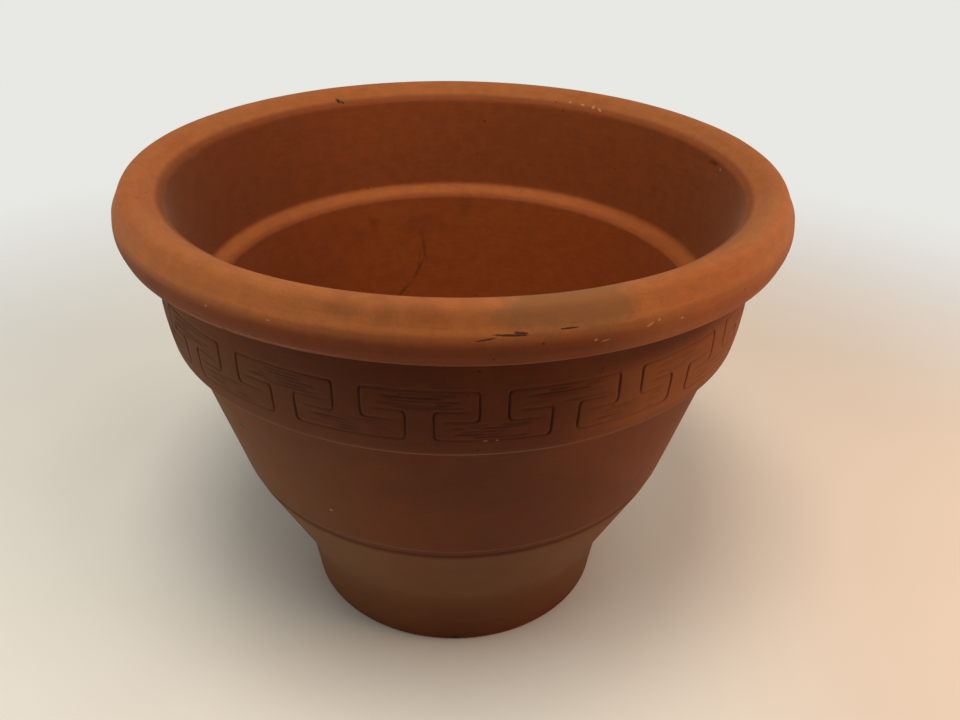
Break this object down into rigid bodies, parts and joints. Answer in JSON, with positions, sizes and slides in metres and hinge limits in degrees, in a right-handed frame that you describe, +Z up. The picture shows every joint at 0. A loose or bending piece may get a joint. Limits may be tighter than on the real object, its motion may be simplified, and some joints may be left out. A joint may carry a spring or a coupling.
{
  "type": "terracotta pot",
  "caption": "Round fired-clay planter with a rolled rim, a pressed key-pattern band, a bowl that narrows to a foot, an inner ledge and a central drain hole.",
  "frame": {"origin": "centre of the flat underside of the foot", "axes": "+Z up along the throwing axis; the pot is turned about Z, and only the pressed pattern breaks the symmetry"},
  "size_m": [0.356, 0.356, 0.268],
  "materials": {
    "terracotta": "matt, unglazed, weathered"
  },
  "bodies": {
    "root": {"pot": "terracotta"}
  },
  "joints": []
}
